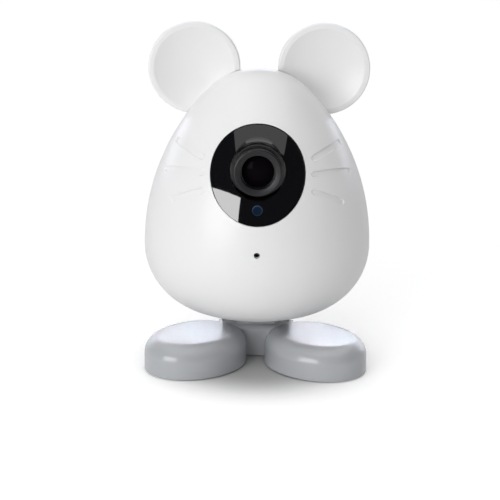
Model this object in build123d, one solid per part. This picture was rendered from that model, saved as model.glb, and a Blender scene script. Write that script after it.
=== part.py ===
from build123d import *
import os
from math import cos, radians, sin, sqrt, atan2, degrees, hypot

# All lengths in millimetres. Front is -Y, +X is the right side of the picture, +Z is up.
# The origin is on the floor, under the upright axis of the egg-shaped body.

# General
overrun = 5.0
touch_gap = 0.1
seam_gap = 0.2
pin_gap = 0.05
part_gap = 0.45

# Egg body, an outline of four tangent arcs turned about the upright axis
egg_bottom_height = 12.0
egg_bottom_radius = 59.5
egg_bottom_turn = 19.5
egg_corner_radius = 19.3
egg_side_radius = 64.4
egg_side_turn = 133.8
wall = 2.0
seam_depth = 4.0

# Ears
ear_centre_x = 18.6
ear_centre_z = 83.8
ear_radius = 13.2
ear_rim_width = 1.6
ear_rim_depth = 3.0
ear_dish_depth = 2.4
ear_dish_share = 0.78
ear_dish_slope = 0.47
ear_back_slope = 0.18
ear_wall = 1.8
ear_edge_round = 0.5
ear_tab_thickness = 1.8
ear_tab_reach = 2.6

# Face window
face_radius = 13.1
face_centre_z = 59.5
face_inset = 0.35
face_wall = 2.0
face_flange_width = 0.9
face_flange_wall = 1.2
post_radius = 0.9
post_circle = 9.9

# Whiskers. From the face centre, as shares of the face radius: inner x, inner z and outer z.
# The last value is the outer x as a share of the egg's width at that height.
whisker_shares = (
    (1.13, 0.27, 0.45, 0.954),
    (1.125, -0.02, -0.155, 0.934),
    (1.125, -0.34, -0.70, 0.793),
)
whisker_width = 1.8
whisker_depth = 0.35

# Microphone
mic_hole_z = 38.5
mic_hole_radius = 0.85
mic_radius = 2.0
mic_length = 1.6
boot_wall = 0.9
boot_length = 3.4

# Lens
lens_z = 60.7
hood_front = -28.5
hood_radius = 6.6
hood_length = 1.9
hood_slope = 0.25
hood_round = 0.2
aperture_radius = 4.75
collar_front = -26.6
collar_steps = 3
collar_step = 0.25
collar_ring = 0.75
collar_radius = 7.5
collar_round = 0.2
flare_round = 4.1
flare_turn = 57.0
barrel_radius = 6.0
barrel_back = -9.4
element_seat = 3.0
element_radius = 4.5
element_bulge = 1.3
element_edge = 1.4
rear_element_radius = 3.4
rear_element_depth = 3.2
rear_element_y = -15.0
barrel_bore = 2.8
holder_size = 15.0
holder_base = 3.0
holder_tube = 7.1
holder_front = -15.2
sensor_size = 7.0
sensor_thickness = 0.8

# Infrared lamp board and status light
led_board_gap = 2.54278
led_board_thickness = 1.0
led_board_radius = 11.2
led_radius = 1.5
led_length = 3.0
led_circle = 9.1
led_count = 4
status_z = 50.5
status_radius = 1.55
status_core = 0.75
status_sink = 0.25
status_round = 0.25

# Main board
board_front = -5.0
board_thickness = 1.4
board_width = 36.8
board_bottom = 24.0
board_top = 69.0
board_corner = 3.0
board_hole_x = 16.2
board_hole_low = 28.0
board_hole_high = 66.3
boss_radius = 2.1
screw_radius = 0.9
screw_head_radius = 1.7
screw_head = 1.1
screw_head_round = 0.35
screw_bite = 4.0
shield_width = 20.0
shield_height = 16.0
shield_depth = 1.8
shield_z = 44.0
antenna_width = 24.0
antenna_height = 5.0
antenna_thickness = 0.5
antenna_z = 58.0

# Speaker in the back of the body
speaker_z = 45.0
speaker_radius = 10.0
speaker_front = 18.5
speaker_basket = 4.0
speaker_magnet_radius = 6.0
speaker_magnet = 2.6
gasket_thickness = 0.8
gasket_width = 1.4
grille_hole_radius = 0.75
grille_pitch = 2.7
grille_rings = 3

# Connector board at the back, over the stand pocket
io_bottom = 20.4
io_thickness = 1.0
io_left = -13.0
io_right = 20.0
io_front = 7.0
io_rib_x = 7.5
io_rib_width = 1.6
socket_width = 7.6
socket_height = 2.7
socket_length = 7.0
socket_mouth = 26.6
socket_wall = 0.4
plug_recess_width = 11.6
plug_recess_height = 7.2
plug_recess_depth = 0.9
card_width = 12.0
card_height = 1.6
card_length = 14.0
card_mouth = 18.4
card_centre_x = 13.2
card_slot_width = 11.2
card_slot_height = 1.0
switch_x = -9.5
switch_width = 4.4
switch_height = 3.2
switch_depth = 3.2
switch_back = 22.4
button_radius = 1.5
button_flange = 0.6
button_flange_length = 0.8
button_proud = 0.4
button_travel = 0.5

# Shell screws, driven from the back into long bosses in the front shell
shell_boss_radius = 2.4
shell_screw_low_x = 22.0
shell_screw_low_z = 34.0
shell_screw_top_z = 76.0
shell_screw_head_seat = 3.0

# Folding stand
arm_width = 19.7
knuckle_width = 11.4
washer_thickness = 0.35
base_axis_y = -2.4
base_axis_z = 12.4
upper_axis_y = 24.5
upper_axis_z = 14.6
ear_round = 2.35
knuckle_radius = 2.5
knuckle_neck_front = 1.5
pin_radius = 1.0
pin_recess = 0.3
arm_thickness = 3.4
arm_clear = 0.6
arm_groove_depth = 0.8
arm_groove_margin = 2.4
arm_edge = 0.4
pocket_side_gap = 0.5
pocket_roof_gap = 0.55
pocket_wall = 1.5

# Base with two oval feet
foot_height = 9.6
foot_lift = 0.4
foot_half_length = 16.5
foot_half_width = 13.2
foot_centre_x = 17.25
foot_centre_y = -12.4
foot_splay = 40.0
foot_top_round = 4.6
bridge_width = 22.0
bridge_front = -5.6
bridge_back = 1.6
bridge_round = 1.6
base_wall = 2.2
cover_thickness = 1.4
cover_recess = 0.6
ballast_thickness = 3.6
pad_radius = 3.6
pad_spread_share = 0.66
pad_sink = 0.5
base_boss_radius = 2.3


def rod_y(radius, front, back, x=0, z=0):
    """A round bar along Y between two depths."""
    return Pos(x, (front + back) / 2, z) * Rot(90, 0, 0) * Cylinder(radius, back - front)


def rod_x(radius, half_width, y, z):
    """A round bar along X, centred on the middle plane."""
    return Pos(0, y, z) * Rot(0, 90, 0) * Cylinder(radius, 2 * half_width)


def ring_x(radius, bore, inner, outer, y, z):
    """A washer or collar along X between two distances on the right side."""
    ring = Cylinder(radius, outer - inner)
    if bore:
        ring -= Cylinder(bore, outer - inner)
    return Pos((inner + outer) / 2, y, z) * Rot(0, 90, 0) * ring


def block(x0, x1, y0, y1, z0, z1):
    """A box between two corners."""
    middle = Pos((x0 + x1) / 2, (y0 + y1) / 2, (z0 + z1) / 2)
    return middle * Box(x1 - x0, y1 - y0, z1 - z0)


def both_sides(solid):
    """A solid of the right side and its mirror image on the left."""
    return [solid, mirror(solid, Plane.YZ)]


def egg_arcs():
    """Centre, radius, first and last turn of each arc of the egg's outline."""
    x, z, turn = 0, egg_bottom_height, 0
    arcs = []
    steps = (
        (egg_bottom_radius, egg_bottom_turn),
        (egg_corner_radius, 90),
        (egg_side_radius, egg_side_turn),
    )
    for radius, end in steps:
        centre_x = x - radius * sin(radians(turn))
        centre_z = z + radius * cos(radians(turn))
        arcs.append((centre_x, centre_z, radius, turn, end))
        x = centre_x + radius * sin(radians(end))
        z = centre_z - radius * cos(radians(end))
        turn = end
    top_radius = x / sin(radians(egg_side_turn))
    top_centre = z + top_radius * cos(radians(egg_side_turn))
    arcs.append((0, top_centre, top_radius, egg_side_turn, 180))
    return arcs


def egg_solid(inset=0):
    """The egg, drawn in from its outside by an even distance."""
    edges = []
    for centre_x, centre_z, radius, start, end in egg_arcs():
        reach = radius - inset
        points = []
        for turn in (start, (start + end) / 2, end):
            points.append((centre_x + reach * sin(radians(turn)), centre_z - reach * cos(radians(turn))))
        edges.append(ThreePointArc(*points))
    edges.append(Line(edges[-1] @ 1, edges[0] @ 0))
    return revolve(Plane.XZ * make_face(edges), Axis.Z)


def egg_reach(z, inset=0):
    """How far the egg's wall is from the upright axis at a height."""
    for centre_x, centre_z, radius, start, end in egg_arcs():
        reach = radius - inset
        low = centre_z - reach * cos(radians(start))
        high = centre_z - reach * cos(radians(end))
        if low <= z <= high:
            return centre_x + sqrt(reach**2 - (z - centre_z) ** 2)
    return 0


def egg_depth(x, z, inset=0):
    """How far in front of or behind the axis the egg's wall is at a place."""
    return sqrt(egg_reach(z, inset) ** 2 - x**2)


def egg_outward(place):
    """The way straight out of the egg's wall at a place on it."""
    across = hypot(place.X, place.Y)
    for centre_x, centre_z, radius, start, end in egg_arcs():
        low = centre_z - radius * cos(radians(start))
        high = centre_z - radius * cos(radians(end))
        if low <= place.Z <= high:
            tilt = (across - centre_x) / across
            return Vector(place.X * tilt, place.Y * tilt, place.Z - centre_z)
    return Vector(0, 0, 1)


egg = egg_solid()
egg_inside = egg_solid(wall)
egg_reach_max = egg_reach(egg_arcs()[1][1])
egg_top = egg_arcs()[3][1] + egg_arcs()[3][2]

# The lamp board clears the back of the face plate, which comes nearest at the board's upper edge
led_board_front = led_board_gap - egg_reach(lens_z + led_board_radius, face_inset + face_wall)

# Places on the stand that both the arm and the body's pocket follow
arm_length = hypot(upper_axis_y - base_axis_y, upper_axis_z - base_axis_z)
arm_slope = degrees(atan2(upper_axis_z - base_axis_z, upper_axis_y - base_axis_y))
lug_inner = knuckle_width / 2 + part_gap
arm_frame = Pos(0, base_axis_y, base_axis_z) * Rot(arm_slope, 0, 0)


def pocket_space():
    """The room under the body that the folded arm lies in."""
    half = arm_width / 2 + pocket_side_gap
    front = -ear_round - pocket_roof_gap
    roof = ear_round + pocket_roof_gap
    room = arm_frame * block(-half, half, front, arm_length, -arm_length, roof)
    room += rod_x(knuckle_radius + pocket_roof_gap, half, upper_axis_y, upper_axis_z)
    return room


def pocket_tub():
    """The walls round the pocket, inside the egg."""
    half = arm_width / 2 + pocket_side_gap + pocket_wall
    front = -ear_round - pocket_roof_gap - pocket_wall
    roof = ear_round + pocket_roof_gap + pocket_wall
    tub = arm_frame * block(-half, half, front, arm_length + pocket_wall, -arm_length, roof)
    return tub & egg


def hinge_lugs():
    """The two lugs under the back of the body that hold the upper pin."""
    outer = arm_width / 2
    lug = ring_x(ear_round, 0, lug_inner, outer, upper_axis_y, upper_axis_z)
    top = io_bottom - touch_gap
    neck = block(lug_inner, outer, upper_axis_y - ear_round, upper_axis_y + ear_round, upper_axis_z, top)
    return both_sides(lug + neck)


def shell_boss_places():
    """Where the shell screws go: two low at the sides and one near the top."""
    places = [(side * shell_screw_low_x, shell_screw_low_z) for side in (1, -1)]
    return places + [(0, shell_screw_top_z)]


def board_hole_places():
    """Where the main board is screwed down."""
    places = []
    for z in (board_hole_low, board_hole_high):
        for side in (1, -1):
            places.append((side * board_hole_x, z))
    return places


def whisker_cuts():
    """Shallow rounded grooves, three each side of the face, cut straight into the wall."""
    skin = egg_solid(-overrun) - egg_solid(whisker_depth)
    cuts = []
    for inner_x, inner_z, outer_z, width_share in whisker_shares:
        start = skin_place(inner_x * face_radius, face_centre_z + inner_z * face_radius)
        height = face_centre_z + outer_z * face_radius
        end = skin_place(width_share * egg_reach(height), height)
        middle = (start + end) / 2
        run = end - start
        place = Plane(origin=middle, x_dir=run, z_dir=egg_outward(middle))
        outline = place * SlotOverall(run.length, whisker_width)
        groove = extrude(outline, 2 * overrun, both=True)
        cuts += both_sides(groove & skin)
    return cuts


def skin_place(x, z):
    """The place on the front of the egg at a distance from the middle and a height."""
    return Vector(x, -egg_depth(x, z), z)


def ear_solid():
    """One round ear on its own axis: a dished disc with a rolled rim, facing -Y."""
    inner = ear_radius - ear_rim_width
    back = ear_dish_depth + ear_wall
    dish = [(0, ear_dish_depth), (inner / 2, ear_dish_depth * ear_dish_share), (inner, 0)]
    hump = [(ear_radius, ear_rim_depth), (ear_radius / 2, back - (back - ear_rim_depth) / 4), (0, back)]
    outline = [
        Line((0, back), (0, ear_dish_depth)),
        Spline(dish, tangents=((1, 0), (1, -ear_dish_slope))),
        Line((inner, 0), (ear_radius, 0)),
        Line((ear_radius, 0), (ear_radius, ear_rim_depth)),
        Spline(hump, tangents=((-1, ear_back_slope), (-1, 0))),
    ]
    disc = revolve(make_face(outline), Axis.Y)
    rims = disc.edges().filter_by(GeomType.CIRCLE)
    rims = [edge for edge in rims if edge.radius > inner - touch_gap]
    return fillet(rims, ear_edge_round)


def ear():
    """The right ear in place, with the tab that plugs into the body."""
    place = Pos(ear_centre_x, seam_depth + touch_gap, ear_centre_z)
    disc = place * ear_solid()
    tab_front = seam_depth + 2 * touch_gap + ear_wall / 2
    tab_back = tab_front + ear_tab_thickness
    tab = rod_y(ear_radius - ear_rim_width, tab_front, tab_back, ear_centre_x, ear_centre_z)
    tab = (tab & egg_solid(-2 * touch_gap)) - egg_solid(ear_tab_reach)
    return (disc - egg_solid(-touch_gap)) + tab


def ear_slot():
    """The slot in the rear shell that an ear's tab plugs into."""
    front = seam_depth + touch_gap + ear_wall / 2
    back = front + ear_tab_thickness + 2 * touch_gap
    radius = ear_radius - ear_rim_width + touch_gap
    return rod_y(radius, front, back, ear_centre_x, ear_centre_z)


def whole_shell():
    """Both body shells before they are parted at the seam."""
    body = egg - egg_inside
    body += pocket_tub()
    body -= pocket_space()
    body += hinge_lugs()
    body -= rod_x(pin_radius, arm_width, upper_axis_y, upper_axis_z)
    return body


def front_shell(body):
    """Front half of the body, with the face opening, whiskers, microphone hole and bosses."""
    front = -egg_reach_max - overrun
    shell = body & block(front, -front, front, seam_depth - seam_gap, 0, 2 * egg_top)
    bosses = []
    for x, z in board_hole_places():
        start = -egg_depth(x, z, wall / 2)
        bosses.append(rod_y(boss_radius, start, board_front, x, z) & egg)
    for x, z in shell_boss_places():
        start = -egg_depth(x, z, wall / 2)
        bosses.append(rod_y(shell_boss_radius, start, seam_depth - seam_gap, x, z) & egg)
    shell += bosses
    for x, z in board_hole_places():
        shell -= rod_y(screw_radius, board_front - screw_bite, board_front + overrun, x, z)
    for x, z in shell_boss_places():
        shell -= rod_y(screw_radius, seam_depth - 2 * screw_bite, seam_depth + overrun, x, z)
    opening = rod_y(face_radius + touch_gap, front, 0, 0, face_centre_z)
    shell -= opening - egg_solid(face_wall + 2 * face_flange_wall)
    shell -= rod_y(mic_hole_radius, front, 0, 0, mic_hole_z)
    shell -= whisker_cuts()
    return shell


def grille_holes():
    """Sound holes in rings behind the speaker."""
    back = egg_reach_max + overrun
    holes = [rod_y(grille_hole_radius, speaker_front, back, 0, speaker_z)]
    for ring in range(1, grille_rings):
        count = 6 * ring
        for index in range(count):
            turn = radians(360 * index / count)
            x = ring * grille_pitch * cos(turn)
            z = speaker_z + ring * grille_pitch * sin(turn)
            holes.append(rod_y(grille_hole_radius, speaker_front, back, x, z))
    return holes


def rear_shell(body):
    """Back half of the body, with the speaker grille, sockets, screw bosses and hinge lugs."""
    back = egg_reach_max + overrun
    shell = body & block(-back, back, seam_depth, back, 0, 2 * egg_top)
    bosses = []
    for x, z in shell_boss_places():
        bosses.append(rod_y(shell_boss_radius, seam_depth, egg_depth(x, z, wall / 2), x, z) & egg)
    seat = rod_y(speaker_radius + gasket_width / 2, speaker_seat(), back, 0, speaker_z)
    seat -= rod_y(speaker_radius - gasket_width, speaker_seat(), back, 0, speaker_z)
    ribs = []
    for side in (-1, 1):
        left = side * io_rib_x - io_rib_width / 2
        right = side * io_rib_x + io_rib_width / 2
        rib = block(left, right, io_front, upper_axis_y, base_axis_z + ear_round, io_bottom)
        ribs.append((rib & egg_inside) - pocket_space())
    shell += [seat & egg] + bosses + ribs
    for x, z in shell_boss_places():
        shell -= rod_y(screw_radius + touch_gap, 0, back, x, z)
        shell -= rod_y(screw_head_radius + touch_gap, screw_seat(x, z), back, x, z)
    shell -= grille_holes()
    shell -= both_sides(ear_slot())
    shell -= socket_cuts()
    return shell


def speaker_seat():
    """Depth at which the speaker's gasket meets its ring."""
    return speaker_front + speaker_basket + gasket_thickness


def screw_seat(x, z):
    """Depth of the face that a shell screw's head is driven against."""
    return egg_depth(x, z) - shell_screw_head_seat


def socket_centre():
    """Height of the power socket's middle."""
    return io_bottom + io_thickness + socket_height / 2


def socket_cuts():
    """Openings for the power plug, the memory card and the reset button."""
    back = egg_reach_max + overrun
    plug_width = socket_width + 2 * touch_gap
    plug_height = socket_height + 2 * touch_gap
    middle = Plane.XZ * Pos(0, socket_centre())
    plug = middle * RectangleRounded(plug_width, plug_height, socket_height / 3)
    recess = middle * RectangleRounded(plug_recess_width, plug_recess_height, plug_recess_height / 3)
    card_z = io_bottom + io_thickness + card_height / 2
    card_place = Plane.XZ * Pos(card_centre_x, card_z)
    card = card_place * RectangleRounded(card_slot_width, card_slot_height, card_slot_height / 3)
    skin = egg_solid(-overrun) - egg_solid(plug_recess_depth)
    cuts = [
        extrude(plug, -back),
        extrude(recess, -back) & skin,
        extrude(card, -back) - block(-back, back, 0, seam_depth + wall, 0, egg_top),
        rod_y(button_radius + touch_gap, switch_back, back, switch_x, button_z()),
        rod_y(button_radius + button_flange + touch_gap, switch_back, button_seat(), switch_x, button_z()),
    ]
    return cuts


def button_z():
    """Height of the reset button's middle."""
    return io_bottom + io_thickness + switch_height / 2


def button_seat():
    """Depth of the face that keeps the reset button's flange in."""
    return switch_back + 2 * button_travel + pin_gap + button_flange_length + touch_gap


def face_window():
    """Glossy face plate that follows the egg, with a flare round the lens."""
    plate = egg_solid(face_inset) - egg_solid(face_inset + face_wall)
    front = -egg_reach_max - overrun
    plate = plate & rod_y(face_radius, front, 0, 0, face_centre_z)
    flange = egg_solid(wall + touch_gap) - egg_solid(wall + face_flange_wall)
    flange = flange & rod_y(face_radius + face_flange_width, front, 0, 0, face_centre_z)
    flange -= rod_y(face_radius - face_wall, front, 0, 0, face_centre_z)
    flare_start = collar_front + collar_steps * collar_ring
    flare_middle = flare_place(flare_turn / 2)
    flare_foot = flare_place(flare_turn)
    outline = [
        Line((0, flare_foot[1]), (0, flare_start)),
        Line((0, flare_start), (collar_radius, flare_start)),
        ThreePointArc((collar_radius, flare_start), flare_middle, flare_foot),
        Line(flare_foot, (0, flare_foot[1])),
    ]
    flare = Pos(0, 0, lens_z) * revolve(make_face(outline), Axis.Y)
    core = rod_y(flare_foot[0], front, flare_foot[1], 0, lens_z) & egg_solid(face_inset)
    window = plate + flange + flare + core
    for x, z in post_places():
        start = -egg_depth(x, z, face_inset + face_wall / 2)
        window += rod_y(post_radius, start, led_board_front, x, z)
    neck = collar_radius - collar_step * collar_steps
    window -= rod_y(neck + touch_gap, front, flare_foot[1] + overrun, 0, lens_z)
    window -= rod_y(collar_radius + touch_gap, front, flare_start, 0, lens_z)
    window -= rod_y(status_radius, front, 0, 0, status_z)
    return window


def flare_place(turn):
    """Radius and depth on the flare, which leaves the barrel tangentially and turns outward."""
    start = collar_front + collar_steps * collar_ring
    across = collar_radius + flare_round * (1 - cos(radians(turn)))
    return across, start + flare_round * sin(radians(turn))


def post_places():
    """Posts behind the face plate that the lamp board rests on."""
    return [(post_circle, lens_z), (-post_circle, lens_z), (0, lens_z + post_circle)]


def status_light():
    """Light pipe from the lamp board to the small round window under the lens."""
    front = -egg_depth(0, status_z, face_inset + status_sink)
    pipe = rod_y(status_radius - touch_gap / 2, front, front + face_wall, 0, status_z)
    pipe = fillet(pipe.edges().group_by(Axis.Y)[0], status_round)
    return pipe + rod_y(status_core, front + face_wall / 2, led_board_front, 0, status_z)


def lens_hood():
    """Black ring at the front of the lens, with a slightly sloping front and rounded rims."""
    back = hood_front + hood_length
    outline = [
        Line((aperture_radius, back), (aperture_radius, hood_front)),
        Line((aperture_radius, hood_front), (hood_radius, hood_front + hood_slope)),
        Line((hood_radius, hood_front + hood_slope), (hood_radius, back)),
        Line((hood_radius, back), (aperture_radius, back)),
    ]
    ring = revolve(make_face(outline), Axis.Y)
    rims = [edge for edge in ring.edges().filter_by(GeomType.CIRCLE) if edge.center().Y < back - hood_slope]
    return Pos(0, 0, lens_z) * fillet(rims, hood_round)


def lens_barrel():
    """Stepped barrel that carries the lenses and screws into the holder."""
    barrel = rod_y(barrel_radius, collar_front, barrel_back, 0, lens_z)
    for step in range(collar_steps):
        radius = collar_radius - collar_step * (collar_steps - step) - touch_gap / 2 + collar_step / 2
        start = collar_front + step * collar_ring
        ring = rod_y(radius, start, start + collar_ring - touch_gap, 0, lens_z)
        barrel += fillet(ring.edges().group_by(Axis.Y)[0], collar_round)
    neck = collar_radius - collar_step * collar_steps
    barrel += rod_y(neck, collar_front, flare_place(flare_turn)[1], 0, lens_z)
    barrel -= rod_y(element_radius, collar_front - overrun, collar_front + element_seat, 0, lens_z)
    barrel -= rod_y(rear_element_radius, collar_front, rear_element_y, 0, lens_z)
    barrel -= rod_y(barrel_bore, collar_front, barrel_back + overrun, 0, lens_z)
    return barrel


def lens_glass():
    """Domed front lens, seated on the shoulder inside the barrel."""
    back = collar_front + element_seat
    edge = back - element_edge
    middle = (element_radius * sin(radians(45)), edge - element_bulge / 2)
    outline = [
        Line((0, back), (0, edge - element_bulge)),
        ThreePointArc((0, edge - element_bulge), middle, (element_radius, edge)),
        Line((element_radius, edge), (element_radius, back)),
        Line((element_radius, back), (0, back)),
    ]
    return Pos(0, 0, lens_z) * revolve(make_face(outline), Axis.Y)


def rear_lens():
    """Second lens, deeper in the barrel."""
    lens = rod_y(rear_element_radius, rear_element_y - rear_element_depth, rear_element_y, 0, lens_z)
    dish = rear_element_radius * 2
    lens -= Pos(0, rear_element_y - rear_element_depth - dish + element_bulge / 2, lens_z) * Sphere(dish)
    return lens


def lens_holder():
    """Square foot on the main board with the threaded tube of the lens."""
    half = holder_size / 2
    base = block(-half, half, board_front - holder_base, board_front, lens_z - half, lens_z + half)
    holder = base + rod_y(holder_tube, holder_front, board_front, 0, lens_z)
    holder -= rod_y(barrel_radius, holder_front - overrun, barrel_back, 0, lens_z)
    holder -= rod_y(barrel_bore, holder_front, board_front, 0, lens_z)
    room = sensor_size / 2 + touch_gap
    room_front = board_front - 2 * sensor_thickness
    holder -= block(-room, room, room_front, board_front, lens_z - room, lens_z + room)
    return holder


def image_sensor():
    """Image sensor chip behind the lens."""
    half = sensor_size / 2
    return block(-half, half, board_front - sensor_thickness, board_front, lens_z - half, lens_z + half)


def led_board():
    """Round board behind the face plate, with room for the lens holder."""
    board = rod_y(led_board_radius, led_board_front, led_board_front + led_board_thickness, 0, lens_z)
    board -= rod_y(holder_tube + part_gap / 2, led_board_front - overrun, board_front, 0, lens_z)
    return board


def infrared_leds():
    """Infrared lamps round the lens, hidden by the dark face plate."""
    leds = []
    for index in range(led_count):
        turn = radians(360 * (index + 0.5) / led_count)
        x = led_circle * cos(turn)
        z = lens_z + led_circle * sin(turn)
        lamp = rod_y(led_radius, led_board_front - led_length + led_radius, led_board_front, x, z)
        lamp += Pos(x, led_board_front - led_length + led_radius, z) * Sphere(led_radius)
        leds.append(lamp)
    return Compound(leds)


def main_board():
    """Circuit board on the front shell's bosses."""
    height = board_top - board_bottom
    middle = (board_top + board_bottom) / 2
    outline = Plane.XZ * Pos(0, middle) * RectangleRounded(board_width, height, board_corner)
    board = Pos(0, board_front + board_thickness, 0) * extrude(outline, board_thickness)
    for x, z in board_hole_places():
        board -= rod_y(screw_radius + touch_gap, board_front - overrun, board_front + overrun, x, z)
    return board


def chip_shield():
    """Metal can over the processor, on the back of the main board."""
    back = board_front + board_thickness
    outline = Plane.XZ * Pos(0, shield_z) * RectangleRounded(shield_width, shield_height, board_corner / 3)
    return Pos(0, back, 0) * extrude(outline, -shield_depth)


def wifi_antenna():
    """Flat antenna on the back of the main board."""
    back = board_front + board_thickness
    half = antenna_width / 2
    low = antenna_z - antenna_height / 2
    return block(-half, half, back, back + antenna_thickness, low, low + antenna_height)


def microphone_boot():
    """Rubber cup that seals the microphone against the front shell."""
    outer = mic_radius + boot_wall
    front = -egg_depth(0, mic_hole_z, wall)
    cup = rod_y(outer, front - wall, front + boot_length, 0, mic_hole_z) & egg_solid(wall)
    cup -= rod_y(mic_hole_radius, front - overrun, front + boot_length, 0, mic_hole_z)
    cup -= rod_y(mic_radius, front + boot_length - mic_length, front + boot_length + overrun, 0, mic_hole_z)
    return cup


def microphone():
    """Microphone capsule in its boot."""
    back = -egg_depth(0, mic_hole_z, wall) + boot_length
    return rod_y(mic_radius, back - mic_length, back, 0, mic_hole_z)


def speaker():
    """Loudspeaker that faces the grille at the back."""
    basket = rod_y(speaker_radius, speaker_front, speaker_front + speaker_basket, 0, speaker_z)
    cone = Pos(0, speaker_front + speaker_basket, speaker_z) * Rot(90, 0, 0) * Cone(
        speaker_radius - gasket_width, speaker_radius / 3, speaker_basket / 2
    )
    magnet = rod_y(speaker_magnet_radius, speaker_front - speaker_magnet, speaker_front, 0, speaker_z)
    return basket - cone + magnet


def speaker_gasket():
    """Foam ring between the speaker and its seat."""
    front = speaker_front + speaker_basket
    ring = rod_y(speaker_radius, front, front + gasket_thickness, 0, speaker_z)
    return ring - rod_y(speaker_radius - gasket_width, front, front + gasket_thickness, 0, speaker_z)


def io_board():
    """Connector board that lies on two ribs at the back."""
    reach = egg_reach(io_bottom, wall + part_gap)
    board = block(io_left, io_right, io_front, reach, io_bottom, io_bottom + io_thickness)
    return board & Cylinder(reach, 4 * egg_reach_max)


def power_socket():
    """Socket for the power lead, open to the back."""
    bottom = io_bottom + io_thickness
    middle = Plane.XZ * Pos(0, socket_centre())
    outline = middle * RectangleRounded(socket_width, socket_height, socket_height / 3)
    body = Pos(0, socket_mouth - socket_length, 0) * extrude(outline, -socket_length)
    hollow_width = socket_width - 2 * socket_wall
    hollow_height = socket_height - 2 * socket_wall
    hollow = middle * RectangleRounded(hollow_width, hollow_height, socket_height / 4)
    body -= Pos(0, socket_mouth - socket_length + 2 * socket_wall, 0) * extrude(hollow, -socket_length)
    tongue_half = socket_width / 3
    tongue = block(
        -tongue_half,
        tongue_half,
        socket_mouth - socket_length + socket_wall,
        socket_mouth - socket_wall,
        socket_centre() - socket_wall,
        socket_centre() + socket_wall,
    )
    start = socket_mouth - socket_length
    foot = block(-tongue_half, tongue_half, start, start + socket_length / 2, bottom, bottom + socket_wall)
    return body + tongue + foot


def card_socket():
    """Memory card socket beside the power socket."""
    bottom = io_bottom + io_thickness
    half = card_width / 2
    left = card_centre_x - half
    right = card_centre_x + half
    body = block(left, right, card_mouth - card_length, card_mouth, bottom, bottom + card_height)
    slot_half = card_slot_width / 2
    middle = bottom + card_height / 2
    slot = block(
        card_centre_x - slot_half,
        card_centre_x + slot_half,
        card_mouth - card_length + 2 * socket_wall,
        card_mouth + overrun,
        middle - card_slot_height / 2,
        middle + card_slot_height / 2,
    )
    return (body - slot) & egg_solid(wall + touch_gap)


def reset_switch():
    """Tiny push switch on the connector board."""
    bottom = io_bottom + io_thickness
    left = switch_x - switch_width / 2
    right = switch_x + switch_width / 2
    body = block(left, right, switch_back - switch_depth, switch_back, bottom, bottom + switch_height)
    return body + rod_y(button_radius / 2, switch_back, switch_back + button_travel, switch_x, button_z())


def reset_button():
    """Small round button that shows at the back."""
    front = switch_back + 2 * button_travel + pin_gap
    back = egg_depth(switch_x, button_z()) + button_proud
    button = rod_y(button_radius, front, back, switch_x, button_z())
    button = fillet(button.edges().group_by(Axis.Y)[-1], button_proud / 2)
    flange = rod_y(button_radius + button_flange, front, front + button_flange_length, switch_x, button_z())
    return button + flange


def pan_screw(bite):
    """A pan head screw with a cross recess, its seat at the origin and its shank going down."""
    head = Pos(0, 0, screw_head / 2) * Cylinder(screw_head_radius, screw_head)
    head = fillet(head.edges().group_by(Axis.Z)[-1], screw_head_round)
    shank = Pos(0, 0, -bite / 2) * Cylinder(screw_radius, bite)
    slot = Box(2 * screw_radius, screw_radius / 2, screw_head)
    cross = Box(screw_radius / 2, 2 * screw_radius, screw_head)
    return head + shank - Pos(0, 0, screw_head) * (slot + cross)


def screw_from_back(seat, x, z, bite):
    """A pan head screw driven towards the front."""
    return Pos(x, seat, z) * Rot(-90, 0, 0) * pan_screw(bite)


def board_screws():
    """Four screws of the main board."""
    seat = board_front + board_thickness
    return Compound([screw_from_back(seat, x, z, screw_bite) for x, z in board_hole_places()])


def shell_screws():
    """Three long screws that hold the two shells together."""
    screws = []
    for x, z in shell_boss_places():
        seat = screw_seat(x, z)
        screws.append(screw_from_back(seat, x, z, seat - seam_depth + screw_bite))
    return Compound(screws)


def stand_arm():
    """Folding arm: a fork at the base end and a knuckle at the body end."""
    half = arm_width / 2
    thin = arm_thickness / 2
    bar = block(-half, half, 0, arm_length - knuckle_radius - arm_clear, -thin, thin)
    bar += rod_x(ear_round, half, 0, 0)
    bar -= rod_x(knuckle_radius + arm_clear, lug_inner, 0, 0)
    knuckle = block(-knuckle_width / 2, knuckle_width / 2, arm_length / 2, arm_length, -thin, thin)
    knuckle += rod_x(knuckle_radius, knuckle_width / 2, arm_length, 0)
    lug_room = ring_x(ear_round + arm_clear, 0, knuckle_width / 2, arm_width, arm_length, 0)
    bar = bar - both_sides(lug_room) + knuckle
    groove_half = half - arm_groove_margin
    groove_start = knuckle_radius + arm_clear + arm_groove_margin
    groove_end = arm_length - knuckle_radius - arm_clear - arm_groove_margin
    below = -thin - overrun
    floor = -thin + arm_groove_depth
    groove = block(-groove_half, groove_half, groove_start, groove_end, below, floor)
    rib_half = arm_groove_depth / 2
    middle = (groove_start + groove_end) / 2
    groove -= block(-groove_half, groove_half, middle - rib_half, middle + rib_half, below, thin)
    bar -= groove
    bar -= rod_x(pin_radius + pin_gap, arm_width, 0, 0)
    bar -= rod_x(pin_radius + pin_gap, arm_width, arm_length, 0)
    return arm_frame * bar


def friction_washers():
    """Four thin washers that stiffen the two hinges."""
    inner = knuckle_width / 2 + (part_gap - washer_thickness) / 2
    washers = []
    for along in (0, arm_length):
        outer = inner + washer_thickness
        washer = ring_x(ear_round - touch_gap, pin_radius + pin_gap, inner, outer, along, 0)
        washers += [arm_frame * piece for piece in both_sides(washer)]
    return Compound(washers)


def hinge_pin(y, z):
    """Steel pin across the full width of the arm, a little short of its sides."""
    return rod_x(pin_radius, arm_width / 2 - pin_recess, y, z)


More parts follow.
